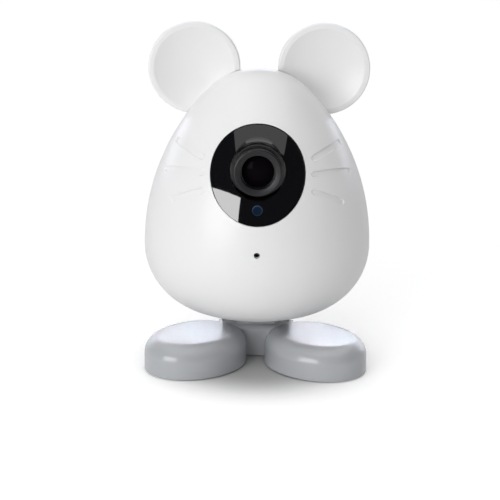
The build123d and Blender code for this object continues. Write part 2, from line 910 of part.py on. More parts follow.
def foot_outline(inset=0):
    """Outline of the two splayed oval feet and the bridge between them."""
    oval = Ellipse(foot_half_width - inset, foot_half_length - inset)
    right = Pos(foot_centre_x, foot_centre_y) * Rot(0, 0, foot_splay) * oval
    left = Pos(-foot_centre_x, foot_centre_y) * Rot(0, 0, -foot_splay) * oval
    middle = (bridge_front + bridge_back) / 2
    depth = bridge_back - bridge_front - 2 * inset
    return right + left + Pos(0, middle) * Rectangle(bridge_width, depth)


def base_block():
    """Outside form of the base: two feet with rolled-over tops and the bridge between them."""
    oval = Ellipse(foot_half_width, foot_half_length)
    foot = extrude(oval, foot_height - foot_lift)
    foot = fillet(foot.edges().group_by(Axis.Z)[-1], foot_top_round)
    foot = Pos(foot_centre_x, foot_centre_y, foot_lift) * Rot(0, 0, foot_splay) * foot
    half = bridge_width / 2
    bridge = block(-half, half, bridge_front, bridge_back, foot_lift, foot_height)
    bridge = fillet(bridge.edges().filter_by(Axis.X).group_by(Axis.Z)[-1], bridge_round)
    return bridge + both_sides(foot)


def base_housing():
    """Two-footed housing with the lower hinge knuckle on its bridge."""
    body = base_block()
    knuckle = rod_x(knuckle_radius, knuckle_width / 2, base_axis_y, base_axis_z)
    half = knuckle_width / 2
    front = base_axis_y - knuckle_neck_front
    back = base_axis_y + knuckle_radius
    neck = block(-half, half, front, back, foot_height - base_wall, base_axis_z)
    body += knuckle + neck
    body -= rod_x(pin_radius, arm_width, base_axis_y, base_axis_z)
    ceiling = foot_height - base_wall
    hollow = extrude(foot_outline(base_wall), ceiling)
    for x, y in base_screw_places():
        hollow -= Pos(x, y, foot_height / 2) * Cylinder(base_boss_radius, foot_height)
    lowest = cover_recess + cover_thickness + foot_lift
    reach = 4 * foot_centre_x
    body -= hollow & block(-reach, reach, -reach, reach, lowest, ceiling)
    body -= extrude(foot_outline(base_wall / 2), lowest)
    for x, y in base_screw_places():
        body -= Pos(x, y, ceiling / 2) * Cylinder(screw_radius, ceiling)
    return body


def base_screw_places():
    """Two screws across the middle of each foot."""
    places = []
    reach = foot_half_width - base_wall - 2 * base_boss_radius
    for side in (1, -1):
        for way in (1, -1):
            x = foot_centre_x + way * reach * cos(radians(foot_splay))
            y = foot_centre_y + way * reach * sin(radians(foot_splay))
            places.append((side * x, y))
    return places


def base_cover():
    """Flat cover under the base, with seats for the rubber pads."""
    plate = Pos(0, 0, foot_lift + cover_recess) * extrude(
        foot_outline(base_wall / 2 + touch_gap), cover_thickness
    )
    for x, y in base_screw_places():
        plate -= Pos(x, y, cover_thickness) * Cylinder(screw_radius + touch_gap, 4 * cover_thickness)
        head_room = foot_lift + cover_recess + screw_head / 2
        plate -= Pos(x, y, head_room / 2) * Cylinder(screw_head_radius + touch_gap, head_room)
    for x, y in pad_places():
        plate -= Pos(x, y, (foot_lift + cover_recess + pad_sink) / 2) * Cylinder(
            pad_radius + touch_gap, foot_lift + cover_recess + pad_sink
        )
    return plate


def pad_places():
    """One pad at the toe of each foot and one at its heel."""
    places = []
    reach = foot_half_length * pad_spread_share
    for side in (1, -1):
        for way in (1, -1):
            x = foot_centre_x + way * reach * sin(radians(foot_splay))
            y = foot_centre_y - way * reach * cos(radians(foot_splay))
            places.append((side * x, y))
    return places


def foot_pads():
    """Four rubber pads that the camera stands on."""
    thickness = foot_lift + cover_recess + pad_sink
    pads = []
    for x, y in pad_places():
        pads.append(Pos(x, y, thickness / 2) * Cylinder(pad_radius, thickness))
    return Compound(pads)


def base_screws():
    """Screws that hold the cover."""
    screws = []
    seat = foot_lift + cover_recess + screw_head / 2
    for x, y in base_screw_places():
        screws.append(Pos(x, y, seat) * Rot(180, 0, 0) * pan_screw(screw_bite))
    return Compound(screws)


def ballast_plates():
    """A steel weight in each foot, on the cover."""
    bottom = foot_lift + cover_recess + cover_thickness
    oval = Ellipse(foot_half_width - base_wall - touch_gap, foot_half_length - base_wall - touch_gap)
    plates = []
    for side in (1, -1):
        place = Pos(side * foot_centre_x, foot_centre_y, bottom) * Rot(0, 0, side * foot_splay)
        plate = place * extrude(oval, ballast_thickness)
        plates.append(plate)
    screw_room = []
    for x, y in base_screw_places():
        screw_room.append(Pos(x, y, foot_height / 2) * Cylinder(base_boss_radius + touch_gap, foot_height))
    reach = 4 * foot_centre_x
    middle = block(-bridge_width / 4, bridge_width / 4, -reach, reach, 0, foot_height)
    return Compound([plate - screw_room - middle for plate in plates])


def save(name, shape):
    """Write one named sub-part."""
    export_step(shape, f"parts/{name}.step")


def main():
    os.makedirs("parts", exist_ok=True)
    body = whole_shell()
    right = ear()
    save("front_shell", front_shell(body))
    save("rear_shell", rear_shell(body))
    save("right_ear", right)
    save("left_ear", mirror(right, Plane.YZ))
    save("face_window", face_window())
    save("status_light", status_light())
    save("lens_hood", lens_hood())
    save("lens_barrel", lens_barrel())
    save("lens_glass", lens_glass())
    save("rear_lens", rear_lens())
    save("lens_holder", lens_holder())
    save("image_sensor", image_sensor())
    save("led_board", led_board())
    save("infrared_leds", infrared_leds())
    save("main_board", main_board())
    save("chip_shield", chip_shield())
    save("wifi_antenna", wifi_antenna())
    save("microphone", microphone())
    save("microphone_boot", microphone_boot())
    save("speaker", speaker())
    save("speaker_gasket", speaker_gasket())
    save("io_board", io_board())
    save("power_socket", power_socket())
    save("card_socket", card_socket())
    save("reset_switch", reset_switch())
    save("reset_button", reset_button())
    save("board_screws", board_screws())
    save("shell_screws", shell_screws())
    save("stand_arm", stand_arm())
    save("friction_washers", friction_washers())
    save("base_hinge_pin", hinge_pin(base_axis_y, base_axis_z))
    save("upper_hinge_pin", hinge_pin(upper_axis_y, upper_axis_z))
    save("base_housing", base_housing())
    save("base_cover", base_cover())
    save("ballast_plates", ballast_plates())
    save("foot_pads", foot_pads())
    save("base_screws", base_screws())


main()
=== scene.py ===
import math
import bmesh
import bpy
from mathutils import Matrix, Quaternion, Vector


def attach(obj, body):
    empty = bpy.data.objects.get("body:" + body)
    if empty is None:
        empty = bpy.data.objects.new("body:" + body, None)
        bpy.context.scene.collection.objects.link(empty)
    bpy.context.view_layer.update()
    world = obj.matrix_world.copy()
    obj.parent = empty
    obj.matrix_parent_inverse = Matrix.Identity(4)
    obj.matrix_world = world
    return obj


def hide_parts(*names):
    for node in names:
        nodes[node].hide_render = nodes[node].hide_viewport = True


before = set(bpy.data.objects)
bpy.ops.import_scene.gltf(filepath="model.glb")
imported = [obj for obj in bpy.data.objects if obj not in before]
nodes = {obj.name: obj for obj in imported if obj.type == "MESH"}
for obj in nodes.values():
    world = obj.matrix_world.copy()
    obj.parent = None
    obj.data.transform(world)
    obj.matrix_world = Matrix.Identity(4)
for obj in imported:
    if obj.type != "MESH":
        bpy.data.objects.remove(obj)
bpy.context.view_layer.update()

# The scene is in metres, in the frame of the CAD, with the front at -Y. Shapes are written in millimetres.
MM = 0.001

# Sockets of the Mix node when it mixes colours
MIX_SHARE, MIX_FIRST, MIX_SECOND, MIX_RESULT = 0, 6, 7, 2

# Sizes of the tracks and the bare pads of a circuit board, as shares of their pitch
TRACK_SHARE = 0.09
PAD_SHARE = 0.16

# Edges sharper than this, in degrees, stay crisp
CRISP_ANGLE = 25


def feed(tree, socket, value):
    """Links a socket to another one, or sets it to a plain value."""
    if isinstance(value, bpy.types.NodeSocket):
        tree.links.new(value, socket)
    else:
        socket.default_value = value


def add(tree, kind, **values):
    """A node whose named properties and inputs are set at once."""
    node = tree.nodes.new(kind)
    for key, value in values.items():
        if hasattr(node, key):
            setattr(node, key, value)
        else:
            feed(tree, node.inputs[key.replace("_", " ")], value)
    return node


def number(tree, operation, *values, clamp=False):
    """The result of a sum on numbers."""
    node = add(tree, "ShaderNodeMath", operation=operation, use_clamp=clamp)
    for socket, value in zip(node.inputs, values):
        feed(tree, socket, value)
    return node.outputs[0]


def vector(tree, operation, *values):
    """The result of a sum on vectors, which is a number where it is a length or a distance."""
    node = add(tree, "ShaderNodeVectorMath", operation=operation)
    for socket, value in zip(node.inputs, values):
        feed(tree, socket, value)
    return node.outputs["Value" if operation in ("LENGTH", "DISTANCE") else "Vector"]


def scaled(tree, colour, factor):
    """A colour made lighter or darker."""
    node = add(tree, "ShaderNodeVectorMath", operation="SCALE", Vector=colour, Scale=factor)
    return node.outputs["Vector"]


def mixed(tree, share, first, second):
    """A colour between two others."""
    node = add(tree, "ShaderNodeMix", data_type="RGBA")
    feed(tree, node.inputs[MIX_SHARE], share)
    feed(tree, node.inputs[MIX_FIRST], first)
    feed(tree, node.inputs[MIX_SECOND], second)
    return node.outputs[MIX_RESULT]


def ramp(tree, value, start, end, first, last, kind="LINEAR"):
    """A number that runs from first to last while a value runs from start to end."""
    node = add(tree, "ShaderNodeMapRange", interpolation_type=kind, Value=value)
    for label, limit in (("From Min", start), ("From Max", end), ("To Min", first), ("To Max", last)):
        node.inputs[label].default_value = limit
    return node.outputs[0]


def bumped(tree, height, distance, strength):
    """The normal of a surface raised by a height."""
    return add(tree, "ShaderNodeBump", Height=height, Distance=distance, Strength=strength).outputs["Normal"]


def object_place(tree):
    """The place on the piece, in the frame of the CAD."""
    return add(tree, "ShaderNodeTexCoord").outputs["Object"]


def socket_kind(value):
    """The kind of socket for a number, a colour of four values or a vector of three."""
    if isinstance(value, float):
        return "NodeSocketFloat"
    return "NodeSocketColor" if len(value) == 4 else "NodeSocketVector"


def surface_group(name, inputs):
    """An empty shader node group that takes named inputs and puts out a colour, a roughness and a normal."""
    group = bpy.data.node_groups.new(name, "ShaderNodeTree")
    for label, value in inputs.items():
        socket = group.interface.new_socket(label, in_out="INPUT", socket_type=socket_kind(value))
        socket.default_value = value
    for label, kind in (("Colour", "Color"), ("Roughness", "Float"), ("Normal", "Vector")):
        group.interface.new_socket(label, in_out="OUTPUT", socket_type="NodeSocket" + kind)
    return group, add(group, "NodeGroupInput").outputs


def put_out(group, colour, roughness, normal):
    """Links a group's results to its outputs."""
    add(group, "NodeGroupOutput", Colour=colour, Roughness=roughness, Normal=normal)
    return group


def moulded_group():
    """Moulded plastic: a fine grain, faint flow marks and handling marks in the gloss."""
    inputs = {
        "Colour": (0.8, 0.8, 0.8, 1),
        "Roughness": 0.3,
        "Grain Size": 2400.0,
        "Grain Depth": 0.05,
        "Marks": 0.06,
        "Shade Change": 0.02,
    }
    group, give = surface_group("moulded_plastic", inputs)
    place = object_place(group)
    grain = add(group, "ShaderNodeTexNoise", Vector=place, Scale=give["Grain Size"], Detail=3.0, Roughness=0.6)
    flow = add(group, "ShaderNodeTexNoise", Vector=place, Scale=38.0, Detail=4.0, Distortion=0.6)
    smear = add(group, "ShaderNodeTexNoise", Vector=place, Scale=160.0, Detail=5.0, Roughness=0.7)
    centred_flow = number(group, "SUBTRACT", flow.outputs["Fac"], 0.5)
    change = number(group, "MULTIPLY_ADD", centred_flow, give["Shade Change"], 1.0)
    centred_smear = number(group, "SUBTRACT", smear.outputs["Fac"], 0.5)
    rough = number(group, "MULTIPLY_ADD", centred_smear, give["Marks"], give["Roughness"], clamp=True)
    normal = bumped(group, grain.outputs["Fac"], 0.04 * MM, give["Grain Depth"])
    return put_out(group, scaled(group, give["Colour"], change), rough, normal)


def metal_group():
    """Plated or tinned metal: streaks along one axis and a little tarnish."""
    inputs = {
        "Colour": (0.6, 0.6, 0.6, 1),
        "Roughness": 0.3,
        "Streaks": (4000.0, 300.0, 4000.0),
        "Streak Depth": 0.15,
        "Tarnish": 0.2,
    }
    group, give = surface_group("worked_metal", inputs)
    place = object_place(group)
    stretched = vector(group, "MULTIPLY", place, give["Streaks"])
    lines = add(group, "ShaderNodeTexNoise", Vector=stretched, Scale=1.0, Detail=4.0).outputs["Fac"]
    patch = add(group, "ShaderNodeTexNoise", Vector=place, Scale=420.0, Detail=3.0).outputs["Fac"]
    bright = number(group, "SUBTRACT", 1.0, number(group, "MULTIPLY", patch, give["Tarnish"]))
    rough = number(group, "MULTIPLY_ADD", lines, 0.25, give["Roughness"], clamp=True)
    normal = bumped(group, lines, 0.05 * MM, give["Streak Depth"])
    return put_out(group, scaled(group, give["Colour"], bright), rough, normal)


def board_group():
    """Circuit board: solder mask over a web of tracks, with pads left bare."""
    inputs = {
        "Mask": (0.02, 0.16, 0.08, 1),
        "Track": (0.05, 0.3, 0.14, 1),
        "Bare": (0.75, 0.62, 0.3, 1),
        "Track Pitch": 620.0,
    }
    group, give = surface_group("circuit_board", inputs)
    grid = {"Vector": object_place(group), "Scale": give["Track Pitch"]}
    web = add(group, "ShaderNodeTexVoronoi", distance="MANHATTAN", feature="DISTANCE_TO_EDGE", **grid)
    dots = add(group, "ShaderNodeTexVoronoi", distance="CHEBYCHEV", **grid)
    on_track = number(group, "LESS_THAN", web.outputs["Distance"], TRACK_SHARE)
    on_pad = number(group, "LESS_THAN", dots.outputs["Distance"], PAD_SHARE)
    covered = mixed(group, on_track, give["Mask"], give["Track"])
    colour = mixed(group, on_pad, covered, give["Bare"])
    rough = ramp(group, on_pad, 0.0, 1.0, 0.4, 0.25)
    return put_out(group, colour, rough, bumped(group, on_track, 0.03 * MM, 0.4))


def pipe_group():
    """End of a light pipe: smoky blue resin with a paler ring at its rim."""
    inputs = {
        "Core": (0.002, 0.012, 0.03, 1),
        "Rim": (0.045, 0.07, 0.12, 1),
        "Middle": (0.0, 0.0, 50.5 * MM),
        "Radius": 1.2 * MM,
        "Soft Edge": 0.1 * MM,
    }
    group, give = surface_group("light_pipe", inputs)
    offset = vector(group, "SUBTRACT", object_place(group), give["Middle"])
    across = vector(group, "LENGTH", vector(group, "MULTIPLY", offset, (1, 0, 1)))
    beyond = number(group, "SUBTRACT", across, give["Radius"])
    on_rim = number(group, "DIVIDE", beyond, give["Soft Edge"], clamp=True)
    colour = mixed(group, on_rim, give["Core"], give["Rim"])
    rough = ramp(group, on_rim, 0.0, 1.0, 0.1, 0.3)
    return put_out(group, colour, rough, bumped(group, on_rim, 0.03 * MM, 0.3))


MOULDED = moulded_group()
METAL = metal_group()
BOARD = board_group()
PIPE = pipe_group()


def material(name, group, sockets, **shader):
    """A material whose colour, roughness and normal come from a group."""
    made = bpy.data.materials.new(name)
    made.use_nodes = True
    tree = made.node_tree
    surface = tree.nodes["Principled BSDF"]
    for key, value in shader.items():
        surface.inputs[key.replace("_", " ")].default_value = value
    effect = add(tree, "ShaderNodeGroup", node_tree=group)
    for key, value in sockets.items():
        effect.inputs[key].default_value = value
    for result, socket in (("Colour", "Base Color"), ("Roughness", "Roughness"), ("Normal", "Normal")):
        tree.links.new(effect.outputs[result], surface.inputs[socket])
    return made


def moulded(name, colour, roughness, grain=0.05, size=2400.0, marks=0.06, change=0.02, **shader):
    """Moulded plastic, rubber or resin; size is how fine its grain is."""
    sockets = {
        "Colour": (*colour, 1),
        "Roughness": roughness,
        "Grain Size": size,
        "Grain Depth": grain,
        "Marks": marks,
        "Shade Change": change,
    }
    return material(name, MOULDED, sockets, **shader)


def polished(name, colour, roughness, marks=0.0, **shader):
    """Clear or polished resin, with no grain and one even shade."""
    return moulded(name, colour, roughness, grain=0.0, marks=marks, change=0.0, **shader)


def metal(name, colour, roughness, tarnish=0.2):
    """Plated or tinned metal."""
    sockets = {"Colour": (*colour, 1), "Roughness": roughness, "Tarnish": tarnish}
    return material(name, METAL, sockets, Metallic=1.0)


white_shell = moulded("white_shell", (0.86, 0.86, 0.865), 0.3, grain=0.03)
grey_base = moulded(
    "grey_base", (0.43, 0.445, 0.468), 0.35, grain=0.02, marks=0.04, Coat_Weight=1.0, Coat_Roughness=0.14
)
dark_window = polished("dark_window", (0.003, 0.003, 0.004), 0.03, marks=0.02, IOR=1.7)
dark_hood = moulded("dark_hood", (0.008, 0.008, 0.01), 0.4, grain=0.12, size=3200.0, IOR=1.43)
dark_barrel = moulded("dark_barrel", (0.006, 0.006, 0.007), 0.14, size=3200.0)
smoky_light = material("smoky_light", PIPE, {}, IOR=1.15)
chip_resin = moulded("chip_resin", (0.015, 0.015, 0.017), 0.5, grain=0.2)
lamp_resin = moulded("lamp_resin", (0.12, 0.1, 0.16), 0.08, grain=0.0)
soft_rubber = moulded("soft_rubber", (0.02, 0.02, 0.02), 0.65, grain=0.3, size=1500.0)
pad_rubber = moulded("pad_rubber", (0.3, 0.3, 0.31), 0.6, grain=0.35, size=1300.0, change=0.06)
grey_button = moulded("grey_button", (0.28, 0.28, 0.29), 0.4, grain=0.1)
plated_screw = metal("plated_screw", (0.66, 0.66, 0.67), 0.2)
tinned_sheet = metal("tinned_sheet", (0.72, 0.72, 0.73), 0.25)
zinc_plate = metal("zinc_plate", (0.5, 0.51, 0.54), 0.35, tarnish=0.4)
green_board = material("green_board", BOARD, {})
lens_coating = polished("lens_coating", (0.004, 0.003, 0.004), 0.02, IOR=1.05)

FINISHES = (
    (white_shell, ("front_shell", "rear_shell", "right_ear", "left_ear")),
    (grey_base, ("stand_arm", "base_housing", "base_cover")),
    (dark_window, ("face_window",)),
    (dark_hood, ("lens_hood",)),
    (dark_barrel, ("lens_barrel", "lens_holder", "speaker")),
    (lens_coating, ("lens_glass", "rear_lens")),
    (smoky_light, ("status_light",)),
    (lamp_resin, ("infrared_leds",)),
    (green_board, ("led_board", "main_board", "io_board")),
    (chip_resin, ("image_sensor", "wifi_antenna", "reset_switch")),
    (tinned_sheet, ("chip_shield", "microphone", "power_socket", "card_socket")),
    (soft_rubber, ("microphone_boot", "speaker_gasket")),
    (grey_button, ("reset_button",)),
    (plated_screw, ("board_screws", "shell_screws", "base_screws")),
    (plated_screw, ("friction_washers", "base_hinge_pin", "upper_hinge_pin")),
    (zinc_plate, ("ballast_plates",)),
    (pad_rubber, ("foot_pads",)),
)
for finish, names in FINISHES:
    for name in names:
        for slot in nodes[name].material_slots:
            slot.material = finish


def show(name, mesh):
    """An object at the origin that shows a mesh."""
    shown = bpy.data.objects.new(name, mesh)
    bpy.context.scene.collection.objects.link(shown)
    return shown


def finish_faces(mesh, finish):
    """Smooth faces with crisp corners, in one material."""
    mesh.shade_smooth()
    mesh.set_sharp_from_angle(angle=math.radians(CRISP_ANGLE))
    mesh.materials.append(finish)


def turned_ring(name, profile, finish, steps=160):
    """A closed profile of radius and depth, turned about the lens's axis."""
    mesh = bpy.data.meshes.new(name)
    count = len(profile)
    places = []
    for step in range(steps):
        turn = 2 * math.pi * step / steps
        for radius, depth in profile:
            across = radius * math.cos(turn)
            height = LENS_HEIGHT + radius * math.sin(turn)
            places.append((across * MM, depth * MM, height * MM))
    faces = []
    for step in range(steps):
        here = step * count
        there = (step + 1) % steps * count
        for corner in range(count):
            after = (corner + 1) % count
            faces.append((here + corner, here + after, there + after, there + corner))
    mesh.from_pydata(places, [], faces)
    finish_faces(mesh, finish)
    return show(name, mesh)


LENS_HEIGHT = 60.7
# The hood's front as the photograph shows it: a narrow land, then a shallow funnel towards the lens
HOOD_PROFILE = (
    (6.6, -26.6),
    (6.6, -28.12),
    (6.57, -28.28),
    (6.48, -28.38),
    (6.3, -28.45),
    (6.12, -28.44),
    (4.9, -28.12),
    (4.78, -28.02),
    (4.75, -27.8),
    (4.75, -26.6),
)
# The barrel with crisp shoulders, whose narrow rims catch the light as thin rings
BARREL_PROFILE = (
    (2.8, -9.4),
    (6.0, -9.4),
    (6.0, -20.9),
    (6.75, -20.9),
    (6.75, -24.4),
    (7.36, -24.4),
    (7.36, -25.98),
    (7.3, -26.04),
    (6.95, -26.04),
    (6.95, -26.5),
    (6.89, -26.58),
    (4.5, -26.58),
    (4.5, -23.6),
    (3.4, -23.6),
    (3.4, -15.0),
    (2.8, -15.0),
)
hood = turned_ring("lens_hood_front", HOOD_PROFILE, dark_hood)
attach(hood, "camera")
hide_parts("lens_hood")
barrel = turned_ring("lens_barrel_steps", BARREL_PROFILE, dark_barrel)
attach(barrel, "camera")
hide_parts("lens_barrel")

# The egg's outline, from the middle of its foot up: each arc's radius, and the turn in degrees at its end
EGG_FOOT = 12.0
EGG_TURNS = ((59.5, 19.5), (19.3, 90.0), (64.4, 133.8))


def egg_arcs():
    """Centre, radius, first and last turn of each arc of the egg's outline."""
    x, z, turn = 0.0, EGG_FOOT, 0.0
    arcs = []
    for radius, end in EGG_TURNS:
        centre_x = x - radius * math.sin(math.radians(turn))
        centre_z = z + radius * math.cos(math.radians(turn))
        arcs.append((centre_x, centre_z, radius, turn, end))
        x = centre_x + radius * math.sin(math.radians(end))
        z = centre_z - radius * math.cos(math.radians(end))
        turn = end
    crown = x / math.sin(math.radians(turn))
    arcs.append((0.0, z + crown * math.cos(math.radians(turn)), crown, turn, 180.0))
    return arcs


EGG_ARCS = egg_arcs()


def egg_wall(height, inset=0.0):
    """Distance of the egg's wall from its axis at a height, and the centre of the arc it lies on."""
    for centre_x, centre_z, radius, start, end in EGG_ARCS:
        reach = radius - inset
        low = centre_z - reach * math.cos(math.radians(start))
        high = centre_z - reach * math.cos(math.radians(end))
        if low <= height <= high:
            return centre_x + math.sqrt(reach**2 - (height - centre_z) ** 2), centre_x, centre_z
    return 0.0, 0.0, height


def skin_place(x, height):
    """The place on the front of the egg at a distance from the middle and a height."""
    return Vector((x, -math.sqrt(egg_wall(height)[0] ** 2 - x**2), height))


def on_egg(place, outward, inset, search=4.0, halvings=30):
    """Where a line through a place meets the egg, drawn in by an inset."""
    near, far = -search, search
    for _ in range(halvings):
        middle = (near + far) / 2
        spot = place + outward * middle
        if math.hypot(spot.x, spot.y) > egg_wall(spot.z, inset)[0]:
            far = middle
        else:
            near = middle
    return place + outward * near


FACE_HEIGHT = 59.5
FACE_RADIUS = 13.1
# For each groove, as shares of the face's radius: its inner end's place across and up from the face's middle,
# and its outer end's height. Last is the outer end's reach, as a share of the egg's wall there.
WHISKERS = (
    (1.13, 0.27, 0.45, 0.954),
    (1.125, -0.02, -0.155, 0.934),
    (1.125, -0.34, -0.70, 0.793),
)
GROOVE_WIDTH = 1.79
GROOVE_DEPTH = 0.35
GROOVE_SLOPE = 0.42
GROOVE_LAP = 0.02
GROOVE_LIP = 0.01
END_CORNERS = 14


def groove_loops(inner_across, inner_up, outer_up, outer_share):
    """Three loops round a whisker groove: its top edge, the foot of its slope and its bottom edge."""
    start = skin_place(inner_across * FACE_RADIUS, FACE_HEIGHT + inner_up * FACE_RADIUS)
    height = FACE_HEIGHT + outer_up * FACE_RADIUS
    end = skin_place(outer_share * egg_wall(height)[0], height)
    middle = (start + end) / 2
    _, centre_x, centre_z = egg_wall(middle.z)
    across = math.hypot(middle.x, middle.y)
    tilt = (across - centre_x) / across
    outward = Vector((middle.x * tilt, middle.y * tilt, middle.z - centre_z)).normalized()
    run = end - start
    along = (run - outward * run.dot(outward)).normalized()
    aside = outward.cross(along)
    half_width = GROOVE_WIDTH / 2
    half_run = run.length / 2 - half_width
    edges = (
        (half_width, GROOVE_LIP),
        (half_width - GROOVE_SLOPE, GROOVE_DEPTH - GROOVE_LAP),
        (half_width, GROOVE_DEPTH + GROOVE_LAP),
    )
    loops = []
    for radius, inset in edges:
        loop = []
        for step in range(2 * END_CORNERS):
            turn = math.pi * (step % END_CORNERS) / (END_CORNERS - 1) - math.pi / 2
            way = 1 if step < END_CORNERS else -1
            spot = middle + along * way * (half_run + radius * math.cos(turn))
            spot += aside * way * radius * math.sin(turn)
            loop.append(on_egg(spot, outward, inset))
        loops.append(loop)
    return loops


def whisker_bevels(finish):
    """Sloping edges inside the six whisker grooves, so that their sides catch the light."""
    build = bmesh.new()
    for whisker in WHISKERS:
        loops = groove_loops(*whisker)
        count = len(loops[0])
        for side in (1, -1):
            rings = []
            for loop in loops:
                rings.append([build.verts.new((side * v.x * MM, v.y * MM, v.z * MM)) for v in loop])
            for step in range(count):
                after = (step + 1) % count
                for one, two in zip(rings, rings[1:] + rings[:1]):
                    build.faces.new((one[step], one[after], two[after], two[step]))
    bmesh.ops.recalc_face_normals(build, faces=build.faces)
    mesh = bpy.data.meshes.new("whisker_bevels")
    build.to_mesh(mesh)
    build.free()
    finish_faces(mesh, finish)
    return show("whisker_bevels", mesh)


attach(whisker_bevels(white_shell), "camera")

CLOTH_SIZES = {"Radius": 8.4 * MM, "Pitch": 0.55 * MM, "Wire": 0.13 * MM, "Place": (0.0, 23.0 * MM, 45.0 * MM)}


def cloth_tree():
    """Woven cloth: crossing wires on a square grid, trimmed to a round patch."""
    tree = bpy.data.node_groups.new("woven_cloth", "GeometryNodeTree")
    for label, value in CLOTH_SIZES.items():
        socket = tree.interface.new_socket(label, in_out="INPUT", socket_type=socket_kind(value))
        socket.default_value = value
    tree.interface.new_socket("Material", in_out="INPUT", socket_type="NodeSocketMaterial")
    tree.interface.new_socket("Geometry", in_out="OUTPUT", socket_type="NodeSocketGeometry")
    give = add(tree, "NodeGroupInput").outputs
    span = number(tree, "MULTIPLY", give["Radius"], 2.0)
    count = number(tree, "ADD", number(tree, "DIVIDE", span, give["Pitch"]), 1.0)
    grid = add(tree, "GeometryNodeMeshGrid", Size_X=span, Size_Y=span, Vertices_X=count, Vertices_Y=count)
    away = vector(tree, "LENGTH", add(tree, "GeometryNodeInputPosition").outputs[0])
    edge = number(tree, "SUBTRACT", give["Radius"], give["Pitch"])
    outside = number(tree, "GREATER_THAN", away, edge)
    patch = add(tree, "GeometryNodeDeleteGeometry", Geometry=grid.outputs["Mesh"], Selection=outside)
    profile = add(tree, "GeometryNodeCurvePrimitiveCircle", Resolution=6, Radius=give["Wire"])
    ends = {
        "Start": number(tree, "MULTIPLY", give["Pitch"], -0.5),
        "End": number(tree, "MULTIPLY", give["Pitch"], 0.5),
    }
    cross = add(tree, "GeometryNodeJoinGeometry")
    for axis in ("X", "Y"):
        line = add(tree, "GeometryNodeCurvePrimitiveLine")
        for label, value in ends.items():
            point = add(tree, "ShaderNodeCombineXYZ", **{axis: value})
            tree.links.new(point.outputs[0], line.inputs[label])
        wire = add(tree, "GeometryNodeCurveToMesh", Curve=line.outputs[0], Fill_Caps=True)
        tree.links.new(profile.outputs[0], wire.inputs["Profile Curve"])
        tree.links.new(wire.outputs[0], cross.inputs[0])
    spread = add(tree, "GeometryNodeInstanceOnPoints", Points=patch.outputs[0], Instance=cross.outputs[0])
    real = add(tree, "GeometryNodeRealizeInstances", Geometry=spread.outputs[0])
    upright = add(tree, "GeometryNodeTransform", Geometry=real.outputs[0], Translation=give["Place"])
    upright.inputs["Rotation"].default_value = (math.radians(90), 0, 0)
    paint = add(tree, "GeometryNodeSetMaterial", Geometry=upright.outputs[0], Material=give["Material"])
    add(tree, "NodeGroupOutput", Geometry=paint.outputs[0])
    return tree


def grown(name, tree, values):
    """A mesh object made by a node tree with the given inputs, with no modifier left on it."""
    seed = show(name, bpy.data.meshes.new(name + "_seed"))
    growth = seed.modifiers.new("growth", "NODES")
    growth.node_group = tree
    for socket in tree.interface.items_tree:
        if socket.in_out == "INPUT" and socket.name in values:
            growth[socket.identifier] = values[socket.name]
    seed.update_tag()
    bpy.context.view_layer.update()
    ready = seed.evaluated_get(bpy.context.evaluated_depsgraph_get())
    mesh = bpy.data.meshes.new_from_object(ready)
    mesh.name = name
    seed.modifiers.clear()
    seed.data = mesh
    return seed


cloth = grown("speaker_cloth", cloth_tree(), {"Material": soft_rubber})
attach(cloth, "camera")

FLOOR_REACH = 4.0
# The floor is painted darker, and shows less white to the camera, between the feet than far from them: a painted
# shadow on top of the cast one
SHADED_MIDDLE = (0, -0.01, 0)
SHADE_START, SHADE_END = 0.012, 0.034
SHADE_NEAR, SHADE_FAR = 0.5, 0.9
GLOW_START, GLOW_END = 0.014, 0.042
GLOW_FAR = 0.34


def floor_sheet():
    """A wide pale floor that shows white to the camera, keeps its soft cast shadow and has a painted shadow
    round the feet.
    """
    mesh = bpy.data.meshes.new("studio_floor")
    corners = [(x * FLOOR_REACH, y * FLOOR_REACH, 0) for x, y in ((-1, -1), (1, -1), (1, 1), (-1, 1))]
    mesh.from_pydata(corners, [], [(0, 1, 2, 3)])
    floor = show("studio_floor", mesh)
    made = bpy.data.materials.new("studio_floor")
    made.use_nodes = True
    tree = made.node_tree
    away = vector(tree, "DISTANCE", object_place(tree), SHADED_MIDDLE)
    surface = tree.nodes["Principled BSDF"]
    surface.inputs["Roughness"].default_value = 0.6
    surface.inputs["Specular IOR Level"].default_value = 0.1
    # Painted shadow: the floor's colour darkens towards the feet
    shade = ramp(tree, away, SHADE_START, SHADE_END, SHADE_NEAR, SHADE_FAR, "SMOOTHSTEP")
    tree.links.new(shade, surface.inputs["Base Color"])
    # Painted shadow as well: the white glow fades out towards the feet
    lift = ramp(tree, away, GLOW_START, GLOW_END, 0.0, GLOW_FAR, "SMOOTHSTEP")
    seen = add(tree, "ShaderNodeLightPath").outputs["Is Camera Ray"]
    glow = add(tree, "ShaderNodeEmission", Color=(1, 1, 1, 1), Strength=number(tree, "MULTIPLY", seen, lift))
    both = add(tree, "ShaderNodeAddShader")
    tree.links.new(surface.outputs[0], both.inputs[0])
    tree.links.new(glow.outputs[0], both.inputs[1])
    tree.links.new(both.outputs[0], tree.nodes["Material Output"].inputs["Surface"])
    mesh.materials.append(made)


AIM = Vector((0, 0, 0.05))


def direction(azimuth, elevation):
    """Unit vector towards a place seen from the object: azimuth 0 is the front, positive to the right."""
    turn = math.radians(azimuth)
    rise = math.radians(elevation)
    return Vector((math.sin(turn) * math.cos(rise), -math.cos(turn) * math.cos(rise), math.sin(rise)))


